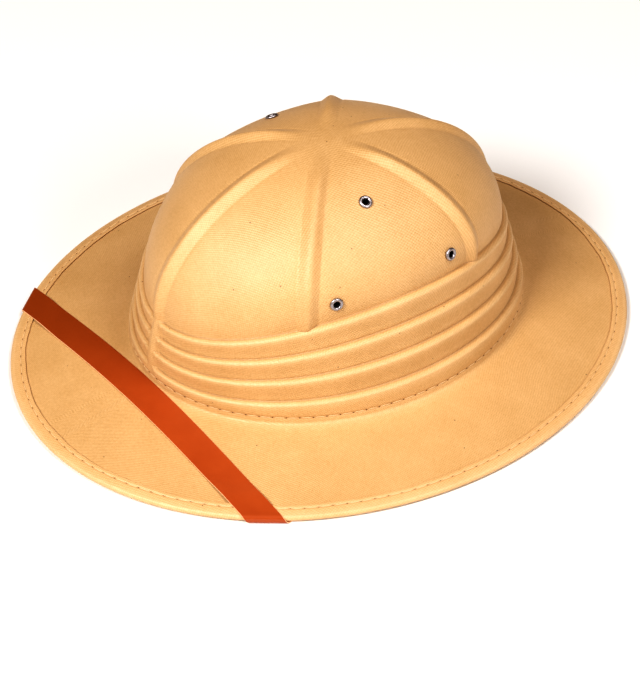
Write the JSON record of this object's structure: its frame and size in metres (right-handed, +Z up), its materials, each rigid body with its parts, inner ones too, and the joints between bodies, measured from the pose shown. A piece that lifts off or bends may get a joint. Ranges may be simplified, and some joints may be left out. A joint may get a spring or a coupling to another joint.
{
  "type": "pith helmet",
  "caption": "Pith helmet with a ribbed oval crown, a pleated band, a wide down-sloping bound brim, vent eyelets and a chin strap over the front of the brim.",
  "frame": {"origin": "centre of the brim's outline on the surface that the hat rests on", "axes": "+Z up, -Y towards the front of the hat, +X towards the wearer's left"},
  "size_m": [0.2706, 0.3188, 0.1174],
  "materials": {
    "tan_twill": "matte cotton twill over a moulded shell",
    "tan_twill_hem": "matte cotton twill, folded and stitched",
    "red_brown_leather": "smooth, glossy",
    "nickel": "polished nickel plate"
  },
  "bodies": {
    "root": {"crown_brim_shell": "tan_twill", "brim_binding": "tan_twill_hem", "chin_strap": "red_brown_leather", "eyelet_left_top": "nickel", "eyelet_left_front": "nickel", "eyelet_left_back": "nickel", "eyelet_right_top": "nickel", "eyelet_right_front": "nickel", "eyelet_right_back": "nickel"}
  },
  "joints": []
}
